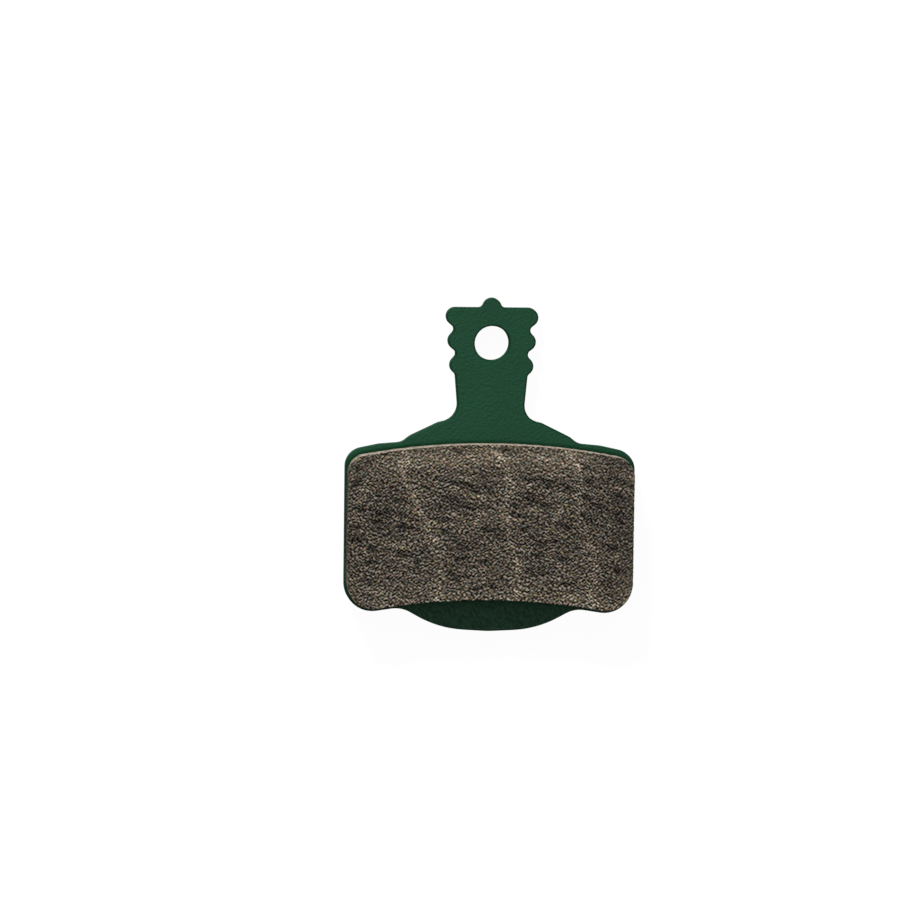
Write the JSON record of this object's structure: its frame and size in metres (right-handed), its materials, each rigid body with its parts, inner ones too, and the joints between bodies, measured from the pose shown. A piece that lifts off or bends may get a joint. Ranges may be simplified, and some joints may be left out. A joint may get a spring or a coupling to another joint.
{
  "type": "bicycle disc brake pad",
  "caption": "Flat brake pad: a stamped steel plate with a scalloped tab and a pin hole carries a bonded slab of friction compound that presses on the brake disc.",
  "frame": {"origin": "on the pin hole's axis, in the plate's back face", "axes": "+Z along the pin hole and out of the friction face, +Y from the pad's body towards the tab's tip, X across the plate, which is the same on both sides"},
  "size_m": [0.03, 0.0345, 0.0039],
  "materials": {
    "plate_paint": "satin",
    "friction_compound": "matte"
  },
  "bodies": {
    "root": {"backing_plate": "plate_paint", "friction_block": "friction_compound"}
  },
  "joints": []
}
